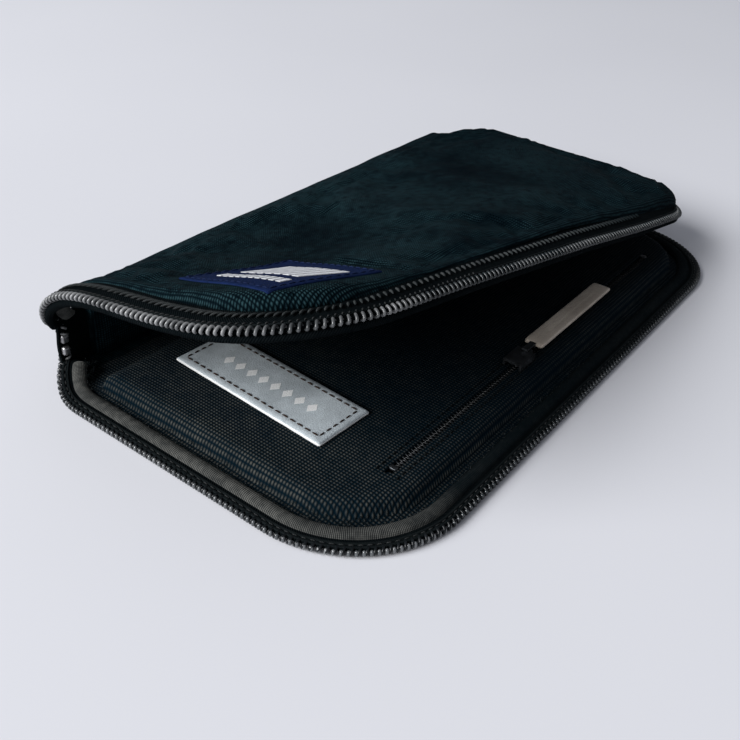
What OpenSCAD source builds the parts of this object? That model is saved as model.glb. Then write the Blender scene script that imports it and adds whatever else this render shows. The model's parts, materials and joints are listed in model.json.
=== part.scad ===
// Zip-around travel pouch, lying open with the near half of its lid lifted.
// +X runs along the long side, +Y towards the spine, +Z up.
// Origin: the middle of the flat underside. All sizes are in millimetres.

/* [Outline] */
// Half the length over the zip coils
half_l = 106; // [96:1:120]
// Distance from the origin to the front edge of the base coil
front_y = 60; // [55:1:70]
// Distance from the origin to the outside of the spine
spine_y = 60; // [55:1:70]
// Corner radius of the coil at the front corners
front_r = 33; // [24:1:36]
// Corner radius of the coil at the back corners
back_r = 22; // [20:1:26]
// How far the lid's front coil stands behind the base's
lid_setback = 13; // [8:1:18]

/* [Thickness] */
// Thickness of the canvas shells
canvas_t = 1.2; // [0.8:0.1:1.6]
// Thickness of the padding
foam_t = 2.6; // [1.5:0.1:3]
// Thickness of the inner canvas panels
lining_t = 0.8; // [0.6:0.1:1]
// Thickness of the spine roll
spine_t = 10; // [9:0.5:11]
// Height of the pouch at the spine
spine_h = 22; // [21:0.5:26]

/* [Lid] */
// How far the near end of the lid is lifted, in degrees
lid_twist = 22.8; // [5:0.1:26]
// X of the cuts that divide the lid into three rigid strips
lid_cut = 35; // [25:1:50]

/* [Zip] */
// Radius of one row of the zip's coil
coil_r = 1.15; // [0.9:0.05:1.3]
// Width of the zip tape
tape_w = 8; // [6:0.5:9]
// Thickness of the zip tape
tape_t = 0.6; // [0.4:0.1:0.8]
// Angle, in degrees, that the coil reaches round a back corner
coil_end = 125; // [110:1:140]

/* [Labels] */
// Leather label: length, width and thickness
label_size = [53, 18.5, 1.2];
// Leather label: centre on the inner panel
label_pos = [-69, 4];
// Leather label: turn away from the Y axis, in degrees
label_turn = 3; // [-10:1:10]
// Woven label: length, width and thickness
woven_size = [44, 31, 0.5];
// Woven label: centre in X, and its distance in front of the lid's fold line
woven_pos = [-73, 64];
// Woven label: turn, in degrees
woven_turn = -16; // [-20:1:0]

/* [Inner pocket] */
// Y of the pocket zip in the inner panel
pocket_y = -40; // [-42:1:-36]
// Half the length of the pocket zip
pocket_half = 76; // [60:1:78]
// X of the pocket slider
pocket_slider_x = -14; // [-40:1:20]
// Leather pull strip: length, width and thickness
pull_size = [46, 4.8, 1.5];

/* [Hidden] */
$fn = 64;

fold_y = spine_y - spine_t / 2;      // both fold lines of the spine
fold_low = spine_t / 2;              // height of the fold beside the base
fold_high = spine_h - spine_t / 2;   // height of the fold beside the lid
fold_gap = 0.35;                     // running gap round a fold
back_y = spine_y - 0.5;              // back edge of both coils
panel_back = fold_y - spine_t / 2 - fold_gap;
cut_gap = 0.3;                       // half the gap between two lid strips
far_out = 200;                       // further out than any piece reaches

// Insets from the outer edge of a coil
coil_in = coil_r + 0.15;
tape_out = coil_r * 2 + 0.35;
cover_in = tape_w;
binding_out = tape_w - 3.6;
binding_in = tape_w + 0.2;
panel_in = tape_w + 2.8;

// Heights of the base's layers
tape_z = 0.5;
binding_t = 1.2;
board_z = canvas_t + 0.1;
board_t = 0.6;
foam_z = board_z + board_t + 0.1;
sheet_z = foam_z + foam_t + 0.1;
sheet_t = 0.3;
lining_z = sheet_z + sheet_t + 0.1;
lining_top = lining_z + lining_t;

// Heights of the lid's layers, with the lid level
lid_top = spine_h;
lid_cover_z = lid_top - canvas_t;
lid_foam_z = lid_cover_z - 0.1 - foam_t;
lid_lining_z = lid_foam_z - 0.1 - lining_t;
lid_tape_z = lid_lining_z - 0.1 - tape_t;
lid_binding_z = lid_tape_z - 0.1 - binding_t;
lid_coil_z = lid_tape_z + tape_t / 2;

// Rounded outline of a half, inset from its coil's outer edge
module outline(front, inset) {
    x = half_l - inset;
    rf = front_r - inset;
    rb = back_r - inset;
    y0 = -front + inset;
    y1 = back_y - inset;
    translate([-x, y0 + rf]) square([2 * x, y1 - rb - y0 - rf]);
    translate([-x + rf, y0]) square([2 * (x - rf), rf + 1]);
    translate([-x + rb, y1 - rb - 1]) square([2 * (x - rb), rb + 1]);
    for (s = [-1, 1]) {
        translate([s * (x - rf), y0 + rf]) circle(rf);
        translate([s * (x - rb), y1 - rb]) circle(rb);
    }
}

// A flat layer of a half, stopped clear of the spine roll
module layer(front, inset, z, t) {
    translate([0, 0, z]) linear_extrude(t) intersection() {
        outline(front, inset);
        translate([-far_out, -far_out]) square([2 * far_out, far_out + panel_back]);
    }
}

// A flat band that follows the edge and is open at the spine
module band(front, outer, inner, z, t) {
    translate([0, 0, z]) linear_extrude(t) difference() {
        outline(front, outer);
        outline(front, inner);
        translate([-far_out, panel_back]) square([2 * far_out, far_out]);
        translate([-half_l + back_r, back_y - back_r]) square([2 * (half_l - back_r), far_out]);
    }
}

// A quarter, or less, of a round row at a corner
module corner_row(r, from, to) {
    rotate([0, 0, from]) rotate_extrude(angle = to - from) translate([r, 0]) circle(coil_r);
}

// One straight row, which starts at x, y and meets the corner rows end to end
module straight_row(x, y, length, turn) {
    translate([x, y, 0]) rotate([0, 90, turn]) cylinder(r = coil_r, h = length);
}

// The whole open loop of one coil, at z = 0
module coil_loop(front) {
    x = half_l - coil_in;
    rf = front_r - coil_in;
    rb = back_r - coil_in;
    y0 = -front + coil_in;
    y1 = back_y - coil_in;
    straight_row(-x + rf, y0, 2 * (x - rf), 0);
    for (s = [-1, 1]) straight_row(s * x, y0 + rf, y1 - rb - y0 - rf, 90);
    translate([x - rf, y0 + rf, 0]) corner_row(rf, 270, 360);
    translate([-x + rf, y0 + rf, 0]) corner_row(rf, 180, 270);
    translate([x - rb, y1 - rb, 0]) corner_row(rb, 0, 180 - coil_end);
    translate([-x + rb, y1 - rb, 0]) corner_row(rb, coil_end, 180);
}

// ---------------------------------------------------------------- base

module base_cover() color([0.09, 0.11, 0.12]) layer(front_y, cover_in, 0, canvas_t);

module base_board() color([0.35, 0.33, 0.3]) layer(front_y, cover_in + 2, board_z, board_t);

module base_foam() color([0.6, 0.6, 0.6]) layer(front_y, panel_in + 0.5, foam_z, foam_t);

module pocket_sheet() color([0.13, 0.14, 0.15]) layer(front_y, panel_in + 0.5, sheet_z, sheet_t);

// The inner panel, slotted for the pocket zip
module base_lining() color([0.1, 0.12, 0.13]) difference() {
    layer(front_y, panel_in, lining_z, lining_t);
    translate([-pocket_half, pocket_y - 1.8, lining_z - 1]) cube([2 * pocket_half, 3.6, 4]);
}

module base_binding() color([0.32, 0.3, 0.29]) {
    band(front_y, binding_out, binding_in, canvas_t + 0.05, binding_t);
}

module base_zip_tape() color([0.05, 0.05, 0.06]) {
    band(front_y, tape_out, cover_in - 0.1, tape_z, tape_t);
}

module base_zip_coil() color([0.3, 0.3, 0.32]) {
    translate([0, 0, coil_r + 0.3]) coil_loop(front_y);
}

// ---------------------------------------------------------------- inner pocket

module inner_zip_tape() color([0.05, 0.05, 0.06]) for (s = [0, 1]) {
    translate([-pocket_half, pocket_y - 1.7 + s * 2.0, lining_z]) {
        cube([2 * pocket_half, 1.4, lining_t - 0.2]);
    }
}

module inner_zip_coil() color([0.3, 0.3, 0.32]) for (s = [-1, 1]) {
    translate([-pocket_half + 4, pocket_y + s * 0.75, lining_top + 0.5]) rotate([0, 90, 0]) {
        cylinder(r = 0.6, h = 2 * pocket_half - 8);
    }
}

module inner_zip_stops() color([0.7, 0.7, 0.72]) for (s = [-1, 1]) {
    translate([s * (pocket_half - 2.6) - 1, pocket_y - 1.6, lining_top + 0.05]) cube([2, 3.2, 1.2]);
}

inner_z = lining_top + 1.35;         // underside of the pocket slider's top plate

// Slider of the pocket zip: a top plate, a bridge and the eye of the pull
module inner_slider_body() color([0.25, 0.25, 0.27]) translate([pocket_slider_x, pocket_y, 0]) {
    for (y = [-2.9, 2.2]) translate([-4, y, lining_top + 0.1]) cube([8, 0.7, 1.3]);
    difference() {
        union() {
            translate([-4, -2.9, inner_z]) cube([8, 5.8, 0.9]);
            translate([3.2, 0, inner_z]) cylinder(r = 2.2, h = 0.9);
        }
        translate([3.6, 0, inner_z - 1]) cylinder(r = 1.15, h = 3);
    }
}

pull_turn_x = pocket_slider_x + 3.6; // pivot of the pocket pull

// Wire ring that joins the leather strip to the slider
module inner_pull_ring() color([0.45, 0.45, 0.47]) translate([pull_turn_x, pocket_y, 0]) {
    translate([0, 0, inner_z - 0.1]) cylinder(r = 0.9, h = 1.8);
    translate([-0.9, -0.9, inner_z + 1.2]) cube([4.9, 1.8, 0.5]);
    translate([3.3, -0.9, inner_z + 0.1]) cube([0.7, 1.8, 1.6]);
}

// Leather strip, folded double over the ring
module inner_pull_strip() color([0.62, 0.56, 0.5]) {
    translate([pull_turn_x + 4, pocket_y - pull_size[1] / 2, inner_z + 0.1]) cube(pull_size);
}

// ---------------------------------------------------------------- labels

// A row of stitches round a rectangle
module stitch_frame(l, w, step) {
    nl = floor(l / step);
    nw = floor(w / step);
    for (i = [0:nl - 1], s = [-1, 1]) {
        translate([(i + 0.5) * l / nl - l / 2, s * w / 2, 0]) cube([step * 0.6, 0.5, 0.35], center = true);
    }
    for (i = [0:nw - 1], s = [-1, 1]) {
        translate([s * l / 2, (i + 0.5) * w / nw - w / 2, 0]) cube([0.5, step * 0.6, 0.35], center = true);
    }
}

module maker_label() color([0.5, 0.53, 0.53]) {
    translate([label_pos[0], label_pos[1], lining_top + 0.05]) rotate([0, 0, 90 - label_turn]) {
        translate([-label_size[0] / 2, -label_size[1] / 2, 0]) cube(label_size);
    }
}

module maker_label_stitching() color([0.22, 0.15, 0.12]) {
    translate([label_pos[0], label_pos[1], lining_top + label_size[2] + 0.25]) {
        rotate([0, 0, 90 - label_turn]) stitch_frame(label_size[0] - 4, label_size[1] - 4, 2.6);
    }
}

module on_woven(z) {
    lift_lid(lid_twist) translate([woven_pos[0], fold_y - woven_pos[1], lid_top + z]) {
        rotate([0, 0, 90 + woven_turn]) children();
    }
}

module woven_label() color([0.12, 0.16, 0.36]) on_woven(0.05) {
    translate([-woven_size[0] / 2, -woven_size[1] / 2, 0]) cube(woven_size);
}

module woven_label_stitching() color([0.08, 0.1, 0.22]) on_woven(woven_size[2] + 0.25) {
    stitch_frame(woven_size[0] - 2.4, woven_size[1] - 2.4, 2.4);
}

// ---------------------------------------------------------------- spine

spine_half = half_l - 20;            // half the length of the spine roll
shell_t = 1.2;

// Rounded bar between the two fold lines, shrunk by an inset
module spine_bar(inset, half) {
    r = spine_t / 2 - inset;
    translate([-half, fold_y, fold_low]) rotate([0, 90, 0]) cylinder(r = r, h = 2 * half);
    translate([-half, fold_y, fold_high]) rotate([0, 90, 0]) cylinder(r = r, h = 2 * half);
    translate([-half, fold_y - r, fold_low]) cube([2 * half, 2 * r, fold_high - fold_low]);
}

module spine_shell() difference() {
    spine_bar(0, spine_half);
    spine_bar(shell_t, spine_half + 1);
}

module spine_cover() color([0.09, 0.11, 0.12]) intersection() {
    spine_shell();
    translate([-far_out, fold_y - 1.5, -far_out]) cube(2 * far_out);
}

module spine_lining() color([0.1, 0.12, 0.13]) intersection() {
    spine_shell();
    translate([-far_out, fold_y - 1.6 - 2 * far_out, -far_out]) cube(2 * far_out);
}

module spine_board() color([0.35, 0.33, 0.3]) spine_bar(shell_t + 0.1, spine_half - 1);

// ---------------------------------------------------------------- zip ends

end_x = half_l - 12;                 // X of the zip's ends at the back corners

// Tabs of tape that close the two ends of the spine
module zip_end_tabs() color([0.05, 0.05, 0.06]) for (s = [-1, 1]) {
    translate([s * (spine_half + 3.6) - 3.2, fold_y - 1.8, 4]) cube([6.4, 1.6, spine_h - 8]);
}

module zip_top_stops() color([0.72, 0.72, 0.74]) for (z = [7.2, 11]) {
    translate([-end_x - 2.8, fold_y - 3, z]) cube([2.4, 3, 2.8]);
}

module zip_bottom_stop() color([0.72, 0.72, 0.74]) {
    translate([end_x + 0.6, fold_y - 0.2, 6.6]) cube([2.4, 2.6, 5.4]);
}

// ---------------------------------------------------------------- lid

// Turns the lid up about its fold line
module lift_lid(angle) {
    translate([0, fold_y, fold_high]) rotate([-angle, 0, 0]) translate([0, -fold_y, -fold_high]) {
        children();
    }
}

lid_front = front_y - lid_setback;

// One strip of a lid layer: 1 is far, 0 is the middle and -1 is near
module strip(side) {
    x0 = [-far_out, -lid_cut + cut_gap, lid_cut + cut_gap][side + 1];
    x1 = [-lid_cut - cut_gap, lid_cut - cut_gap, far_out][side + 1];
    lift_lid((1 - side) / 2 * lid_twist) difference() {
        intersection() {
            children();
            translate([x0, -far_out, -far_out]) cube([x1 - x0, 2 * far_out, 2 * far_out]);
        }
        translate([-far_out, fold_y, fold_high]) rotate([0, 90, 0]) {
            cylinder(r = spine_t / 2 + fold_gap, h = 2 * far_out);
        }
    }
}

module lid_cover(side) color([0.09, 0.11, 0.12]) strip(side) {
    layer(lid_front, cover_in, lid_cover_z, canvas_t);
}

module lid_foam(side) color([0.6, 0.6, 0.6]) strip(side) {
    layer(lid_front, cover_in + 2, lid_foam_z, foam_t);
}

module lid_lining(side) color([0.1, 0.12, 0.13]) strip(side) {
    layer(lid_front, cover_in + 1, lid_lining_z, lining_t);
}

module lid_binding(side) color([0.32, 0.3, 0.29]) strip(side) {
    band(lid_front, binding_out, binding_in, lid_binding_z, binding_t);
}

module lid_zip_tape(side) color([0.05, 0.05, 0.06]) strip(side) {
    band(lid_front, tape_out, cover_in + 2.5, lid_tape_z, tape_t);
}

module lid_zip_coil(side) color([0.3, 0.3, 0.32]) strip(side) {
    translate([0, 0, lid_coil_z]) coil_loop(lid_front);
}

// ---------------------------------------------------------------- slider

slider_x = half_l - 5.2;             // middle of the main slider
slider_y = fold_y - 8;
slider_z = (tape_z + lid_tape_z) / 2;
slider_len = 10;
slider_w = 7.4;

// Two plates joined by a bridge; the rows of coil pass between them
module slider_body() color([0.25, 0.25, 0.27]) translate([slider_x, slider_y, slider_z]) {
    for (x = [-2.4, 1.4]) translate([x, -slider_len / 2, -slider_w / 2]) {
        cube([1, slider_len, slider_w]);
    }
    translate([-2, 1.5, -1.2]) cube([4, 3, 2.4]);
    translate([2.3, 0, 0]) difference() {
        translate([0, -1.6, -2]) cube([2.2, 3.2, 4]);
        translate([1.2, 0, -3]) cylinder(r = 0.7, h = 6);
    }
}

// Metal tab that swings about the slider's eye
module slider_pull() color([0.25, 0.25, 0.27]) translate([slider_x + 3.5, slider_y, slider_z]) {
    translate([0, 0, -3.2]) cylinder(r = 0.5, h = 6.4);
    for (z = [-3.2, 2.4]) translate([-0.5, -4.5, z]) cube([1, 4.5, 0.8]);
    translate([-0.5, -24, -3.2]) cube([1, 19.6, 6.4]);
}

// ---------------------------------------------------------------- assembly

base_cover();
base_board();
base_foam();
base_lining();
base_binding();
base_zip_tape();
base_zip_coil();
pocket_sheet();
inner_zip_tape();
inner_zip_coil();
inner_zip_stops();
maker_label();
maker_label_stitching();
spine_cover();
spine_board();
spine_lining();
zip_end_tabs();
zip_top_stops();
zip_bottom_stop();
lid_cover(1);  // lid_cover_far
lid_foam(1);  // lid_foam_far
lid_lining(1);  // lid_lining_far
lid_binding(1);  // lid_binding_far
lid_zip_tape(1);  // lid_zip_tape_far
lid_zip_coil(1);  // lid_zip_coil_far
lid_cover(0);  // lid_cover_mid
lid_foam(0);  // lid_foam_mid
lid_lining(0);  // lid_lining_mid
lid_binding(0);  // lid_binding_mid
lid_zip_tape(0);  // lid_zip_tape_mid
lid_zip_coil(0);  // lid_zip_coil_mid
lid_cover(-1);  // lid_cover_near
lid_foam(-1);  // lid_foam_near
lid_lining(-1);  // lid_lining_near
lid_binding(-1);  // lid_binding_near
lid_zip_tape(-1);  // lid_zip_tape_near
lid_zip_coil(-1);  // lid_zip_coil_near
woven_label();
woven_label_stitching();
slider_body();
slider_pull();
inner_slider_body();
inner_pull_ring();
inner_pull_strip();
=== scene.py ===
"""Looks of a zip-around travel pouch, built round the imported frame.

Shapes are worked out in millimetres in the frame's own axes, as if the lid lay level.
lift() then bends every lid piece into its raised, twisted rest shape, and meshes are
written in metres.
"""

import json
import math
import random

import bpy
import numpy as np
from mathutils import Matrix, Vector, noise


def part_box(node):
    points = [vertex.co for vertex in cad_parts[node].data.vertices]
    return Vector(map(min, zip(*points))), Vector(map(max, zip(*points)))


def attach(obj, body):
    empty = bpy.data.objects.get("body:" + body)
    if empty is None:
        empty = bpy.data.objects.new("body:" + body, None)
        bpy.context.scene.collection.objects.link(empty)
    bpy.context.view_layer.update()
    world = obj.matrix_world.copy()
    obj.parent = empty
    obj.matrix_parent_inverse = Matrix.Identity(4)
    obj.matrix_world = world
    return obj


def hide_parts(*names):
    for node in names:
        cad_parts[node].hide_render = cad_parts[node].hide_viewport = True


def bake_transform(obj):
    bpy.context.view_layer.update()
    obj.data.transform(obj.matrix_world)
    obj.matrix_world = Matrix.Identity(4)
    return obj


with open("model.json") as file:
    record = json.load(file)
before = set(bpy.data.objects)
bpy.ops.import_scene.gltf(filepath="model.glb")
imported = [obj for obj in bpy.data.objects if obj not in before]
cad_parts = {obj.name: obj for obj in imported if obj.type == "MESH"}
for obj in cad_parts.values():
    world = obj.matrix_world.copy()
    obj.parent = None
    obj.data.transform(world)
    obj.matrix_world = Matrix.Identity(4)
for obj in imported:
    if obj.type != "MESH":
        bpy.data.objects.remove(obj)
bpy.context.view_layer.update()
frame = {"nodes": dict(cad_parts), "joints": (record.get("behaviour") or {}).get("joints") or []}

random.seed(7)
MM = 0.001
TAU = 2 * math.pi

# ---- Sizes from the frame


def box_mm(node):
    """Lowest and highest corner of a CAD node, in millimetres."""
    low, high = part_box(node)
    return np.array(low) / MM, np.array(high) / MM


joints = {joint["name"]: joint for joint in frame["joints"]}
coil_low, coil_high = box_mm("base_zip_coil")
COIL_GAP = 0.15  # CAD coil to the half's outer edge
HALF_L = coil_high[0] + COIL_GAP  # half the length over the coils
BASE_FRONT = -coil_low[1] + COIL_GAP  # origin to the base's front edge
LID_FRONT = -box_mm("lid_zip_coil_far")[0][1] + COIL_GAP
BACK = box_mm("spine_cover")[1][1] - 0.5  # back edge of both coils
FRONT_R = 33.0  # corner radii of the base's coil
LID_FAR_R = 26.0  # the lid's far front corner is tighter
BACK_R = 22.0
BACK_CX = HALF_L - BACK_R  # centre of a back corner
BACK_CY = BACK - BACK_R
END_ANGLE = math.radians(125)  # where a coil stops at a back corner
FOLD_Y = joints["lid_fold"]["pos_m"][1] / MM
LOW_Z = joints["spine_fold"]["pos_m"][2] / MM
HIGH_Z = joints["lid_fold"]["pos_m"][2] / MM
TWIST = math.radians(-joints["lid_twist"]["range_deg"][0])
PANEL_TOP = box_mm("base_lining")[1][2]
LID_TOP = box_mm("lid_cover_far")[1][2]
LID_UNDER = box_mm("lid_lining_far")[0][2]
SPINE_HALF = box_mm("spine_cover")[1][0]
LAP_OUT = 5.25  # how far the laps' stitching stands off the fold lines
ROLL_R = 4.85  # radius of the spine roll

# Insets from the outer edge of a coil
HEAD_INSET = 0.62
TAPE_OUT = 1.3
COIL_INSET = 1.45
BINDING_OUT = 4.2
BINDING_IN = 8.0
FLANGE_IN = 7.4  # outer edge of the inner panels
PANEL_IN = 10.9  # where the base's inner panel starts to rise
COVER_IN = 8.0
LID_COVER_IN = 9.3

# Coils
PITCH = 1.72  # one turn of a zip coil
WIRE = 0.40  # radius of its wire
WIRE_SIDES = 6
TURN_POINTS = 14  # points along one turn
HEAD_R = 0.52  # heads of the base's coil, which stand along its outside
HEAD_Z = 0.55
HEAD_RISE = 1.55
LID_COIL_TILT = math.radians(38)
TAIL_X = 95.6  # where the coils' ends meet their stops

# Cloth
COVER_THICK = 0.9
DROOP_NEAR = 0.75  # how far the lid's front droops near, and far
DROOP_FAR = 0.94
PUFF = 3.1  # how far the lid's padding swells at its far end
NEAR_FLAT = 2.3  # how much less it swells at its near end
SLACK = 0.03  # share by which the lid's canvas is too big
WRINKLE = 2.4  # most that a wrinkle moves
BROAD = 40  # blurs that take the broad sag out of the wrinkles
BULGE_FRONT = 4.2  # how far the lid's canvas bulges over its tape
BULGE_FAR = 9.3
BACK_REACH = 4.6  # how much further out the canvas goes at the back corners
SLIT = 1.0  # half the gap in the canvas over the pocket zip
PANEL_BACK = 52.2  # back edge of the base's inner panel
PANEL_ROUND = 4.2  # radius of its rounded side
BINDING_ENDS = (2.5, 2.5)  # how far a binding stops short of the edge's two ends
ROLL_END = 4.0  # length of a closed end of the spine roll

# Labels
LABEL_TURN = math.radians(87)
LABEL_HALF = (26.5, 9.25)
WOVEN_CENTRE = (-72.3, -11.2)
WOVEN_TURN = math.radians(84.0)
WOVEN_HALF = (17.8, 16.2)
DISH_TURN = math.radians(35)  # the canvas under the woven label falls away in this direction
DISH_R = 25.0
DISH = 4.2

# Camera
CAMERA_PLACE = (-0.2099, -0.1276, 0.1449)
HEADING = math.radians(35.257)
DIP = math.radians(34.570)
ROLL = math.radians(3.770)
LENS = 43.59

# Light
SURROUNDINGS = 0.36
WINDOW_WATTS = 126
FILL_WATTS = 17

# ---- Small helpers


def as_is(points):
    """The shape of a piece that isn't bent."""
    return points


def smooth(u):
    """Rises evenly from 0 to 1, with soft ends."""
    u = np.clip(u, 0, 1)
    return u * u * (3 - 2 * u)


def unit(a):
    """Vectors scaled to a length of 1."""
    return a / np.maximum(np.linalg.norm(a, axis=-1, keepdims=True), 1e-9)


def run_along(points):
    """Distance of each point along a line of points."""
    return np.concatenate([[0], np.cumsum(np.linalg.norm(np.diff(points, axis=0), axis=1))])


def at_height(plan, z):
    """Plan points, all at one height."""
    return np.column_stack([plan, np.full(len(plan), z)])


def oval(inset, z, half_width, half_height, count=6):
    """A round or oval section, as (inset, height) points."""
    angles = np.arange(count) * TAU / count
    return [(inset + half_width * math.cos(a), z + half_height * math.sin(a)) for a in angles]


# ---- The lifted lid

BOW = 10.2  # how far the near end bulges off its own slope
BOW_AT = 26.0  # distance from the fold line at which it bulges most


def lift(points):
    """Moves points of the level lid to where they rest: drooped, bowed at the near end and twisted."""
    x, y, z = np.moveaxis(np.asarray(points, float), -1, 0)
    t = np.clip((HALF_L - x) / (2 * HALF_L), 0, 1)
    front = FOLD_Y - y
    droop = 0.84 + DROOP_NEAR * np.exp(-((x + 82) / 30) ** 2) + DROOP_FAR * np.clip((x - 15) / 40, 0, 1)
    droop = droop * smooth((-y - 8) / 30) + 0.62 * np.exp(-((y + 8) / 20) ** 2) * t ** 5
    out = z - HIGH_Z - droop
    u = np.clip(front, 0, None) / BOW_AT
    out = out + BOW * t ** 5 * (u * np.exp(1 - u)) ** 1.8
    front = front * np.where(front > 0, 1 - 0.053 * t, 1)
    c, s = np.cos(TWIST * t), np.sin(TWIST * t)
    return np.stack([x, FOLD_Y - front * c + out * s, HIGH_Z + front * s + out * c], -1)


def settle(points):
    """Raises the back ends of the base's edge pieces to the lower fold line."""
    p = np.array(points, float)
    angle = np.arctan2(p[..., 1] - BACK_CY, np.abs(p[..., 0]) - BACK_CX)
    start = math.radians(22)
    u = smooth((angle - start) / (math.pi - END_ANGLE - start))
    p[..., 2] += (LOW_Z - 1.5) * np.where(p[..., 1] > BACK_CY, u, 0)
    return p


# ---- Paths round a half


class Edge:
    """The outer edge of a half: from the near back corner, round the front, to the far one."""

    def __init__(self, front, far_r, step=0.5):
        arcs = [
            (-BACK_CX, BACK_CY, BACK_R, END_ANGLE, math.pi),
            (FRONT_R - HALF_L, FRONT_R - front, FRONT_R, math.pi, 1.5 * math.pi),
            (HALF_L - far_r, far_r - front, far_r, 1.5 * math.pi, TAU),
            (BACK_CX, BACK_CY, BACK_R, TAU, TAU + math.pi - END_ANGLE),
        ]
        points, inward = [], []
        for cx, cy, r, a0, a1 in arcs:
            for a in np.linspace(a0, a1, max(4, int(r * (a1 - a0) / step))):
                point = np.array([cx + r * math.cos(a), cy + r * math.sin(a)])
                if points:
                    steps = int(np.linalg.norm(point - points[-1]) / step)
                    for k in range(1, steps):
                        points.append(points[-1] + (point - points[-1]) / (steps - k + 1))
                        inward.append(inward[-1])
                points.append(point)
                inward.append(np.array([-math.cos(a), -math.sin(a)]))
        self.points = np.array(points)
        self.inward = np.array(inward)
        self.along = run_along(self.points)
        self.length = self.along[-1]

    def at(self, along, inset):
        """Plan position at a distance along the edge and inset from it, and the inward normal."""
        pick = lambda a: np.stack([np.interp(along, self.along, a[:, k]) for k in range(2)], -1)
        n = unit(pick(self.inward))
        return pick(self.points) + n * np.asarray(inset, float)[..., None], n


base_edge = Edge(BASE_FRONT, FRONT_R)
lid_edge = Edge(LID_FRONT, LID_FAR_R)

# ---- Mesh helpers


def piece(name, verts, faces, uvs, material, crease=None):
    """A smooth mesh object from millimetre points, with one flat coordinate per vertex in its UV map."""
    mesh = bpy.data.meshes.new(name)
    mesh.from_pydata((np.asarray(verts) * MM).tolist(), [], [list(map(int, f)) for f in faces])
    layer = mesh.uv_layers.new(name="flat")
    loops = np.empty(len(mesh.loops), int)
    mesh.loops.foreach_get("vertex_index", loops)
    layer.data.foreach_set("uv", np.asarray(uvs, np.float32)[loops].ravel())
    mesh.shade_smooth()
    if crease is not None:
        mesh.set_sharp_from_angle(angle=math.radians(crease))
    mesh.materials.append(material)
    obj = bpy.data.objects.new(name, mesh)
    bpy.context.scene.collection.objects.link(obj)
    return obj


def grid_faces(rows, cols, wrap=False, offset=0):
    """Quads of a grid of points; wrap joins the last column to the first."""
    faces = []
    for i in range(rows - 1):
        for j in range(cols if wrap else cols - 1):
            k = (j + 1) % cols
            faces.append((offset + i * cols + j, offset + i * cols + k,
                          offset + (i + 1) * cols + k, offset + (i + 1) * cols + j))
    return faces


def grid_normals(p):
    """Unit normals of a grid of points."""
    return unit(np.cross(np.gradient(p, axis=1), np.gradient(p, axis=0)))


def shell(name, p, flat, thickness, material, keep=None, shape=as_is):
    """A closed sheet: a grid of points, its copy at a thickness below, and a rim round every edge."""
    normal = grid_normals(p)
    if normal[..., 2].mean() * thickness < 0:
        normal = -normal
    top = shape(p).reshape(-1, 3)
    bottom = shape(p - normal * abs(thickness)).reshape(-1, 3)
    count = len(top)
    quads = [f for i, f in enumerate(grid_faces(*p.shape[:2])) if keep is None or keep.ravel()[i]]
    edges = dict.fromkeys((a, b) for f in quads for a, b in zip(f, f[1:] + f[:1]))
    faces = quads + [tuple(count + v for v in reversed(f)) for f in quads]
    faces += [(b, a, count + a, count + b) for a, b in edges if (b, a) not in edges]
    used = sorted({v for f in faces for v in f})
    renumber = {v: i for i, v in enumerate(used)}
    verts = np.concatenate([top, bottom])[used]
    uv = np.concatenate([flat.reshape(-1, 2)] * 2)[used]
    return piece(name, verts, [tuple(renumber[v] for v in f) for f in faces], uv, material)


def swept(name, rings, uvs, material, crease=None):
    """A closed tube through rings of points, with capped ends."""
    rows, cols = rings.shape[:2]
    faces = grid_faces(rows, cols, wrap=True)
    faces += [tuple(reversed(range(cols))), tuple(range((rows - 1) * cols, rows * cols))]
    return piece(name, rings.reshape(-1, 3), faces, uvs.reshape(-1, 2), material, crease)


def ribbon(name, edge, section, material, shape, ends=(0.0, 0.0)):
    """Sweeps a closed section of (inset, height) points along an edge."""
    along = np.linspace(ends[0], edge.length - ends[1], int(edge.length))
    rings = np.stack([at_height(edge.at(along, inset)[0], z) for inset, z in section], 1)
    across = run_along(np.array(section, float))
    uvs = np.stack(np.broadcast_arrays(along[:, None], across[None, :]), -1)
    return swept(name, shape(rings), uvs, material, crease=50)


def band_section(outer, inner, low, high, power, count=9):
    """A flat underside and a rounded top between two insets."""
    u = np.linspace(0, 1, count)
    top = [(outer + (inner - outer) * q, low + (high - low) * math.sin(math.pi * q) ** power) for q in u]
    return top + [(inner - 0.3, low - 0.25), (outer + 0.3, low - 0.25)]


def tubes(name, starts, ends, up, radius, rise, material, shape=as_is, sides=6, rings=6):
    """Short rounded threads from starts to ends, each arched by rise along up."""
    starts = np.asarray(starts, float)
    axis = np.asarray(ends, float) - starts
    length = np.linalg.norm(axis, axis=1, keepdims=True)
    axis = axis / length
    side = unit(np.cross(axis, np.broadcast_to(np.asarray(up, float), starts.shape)))
    up = np.cross(side, axis)
    u = np.linspace(0, 1, rings)
    swell = np.sqrt(np.clip(1 - (2 * u - 1) ** 4, 0.02, 1)) * radius
    a = np.arange(sides) * TAU / sides
    centre = starts[:, None] + axis[:, None] * (u[:, None] * length[:, None])
    centre = centre + up[:, None] * (rise * np.sin(math.pi * u))[:, None]
    ring = (centre[:, :, None]
            + side[:, None, None] * (np.cos(a) * swell[:, None])[..., None]
            + up[:, None, None] * (np.sin(a) * swell[:, None])[..., None])
    count = rings * sides
    faces = []
    for first in range(0, len(starts) * count, count):
        faces += grid_faces(rings, sides, wrap=True, offset=first)
        faces.append(tuple(reversed(range(first, first + sides))))
        faces.append(tuple(range(first + count - sides, first + count)))
    uv = np.stack(np.broadcast_arrays((u[:, None] * length[:, None]), (a * radius)[None, None, :]), -1)
    return piece(name, shape(ring).reshape(-1, 3), faces, uv.reshape(-1, 2), material)


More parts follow.
